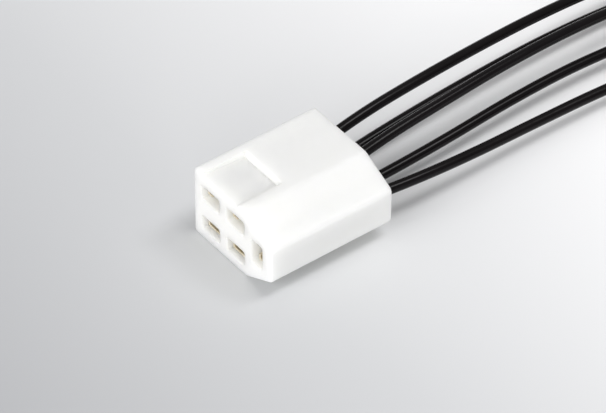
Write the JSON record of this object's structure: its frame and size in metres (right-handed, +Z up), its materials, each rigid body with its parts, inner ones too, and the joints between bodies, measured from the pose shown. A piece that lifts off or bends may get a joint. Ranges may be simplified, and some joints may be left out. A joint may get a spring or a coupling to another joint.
{
  "type": "wire to board connector housing",
  "caption": "White moulded wire to board connector housing with a latch recess and sloping shoulders, holding folded crimp terminals on thin black lead wires.",
  "frame": {"origin": "middle of the housing's underside, on the surface that the part lies on", "axes": "+Y along the housing from its mating face to the wires, +Z up from the flat underside, +X towards the side with the single turned cavity"},
  "size_m": [0.0176, 0.0916, 0.0104],
  "materials": {
    "housing_nylon": "natural nylon, moulded, satin",
    "terminal_brass": "rolled brass strip, folded",
    "wire_insulation": "extruded vinyl, satin black",
    "wire_copper": "bare stranded copper"
  },
  "bodies": {
    "root": {"housing": "housing_nylon", "terminal_1": "terminal_brass", "insulation_1": "wire_insulation", "conductor_1": "wire_copper", "terminal_2": "terminal_brass", "insulation_2": "wire_insulation", "conductor_2": "wire_copper", "terminal_3": "terminal_brass", "insulation_3": "wire_insulation", "conductor_3": "wire_copper", "terminal_4": "terminal_brass", "insulation_4": "wire_insulation", "conductor_4": "wire_copper", "terminal_5": "terminal_brass", "insulation_5": "wire_insulation", "conductor_5": "wire_copper"}
  },
  "joints": []
}
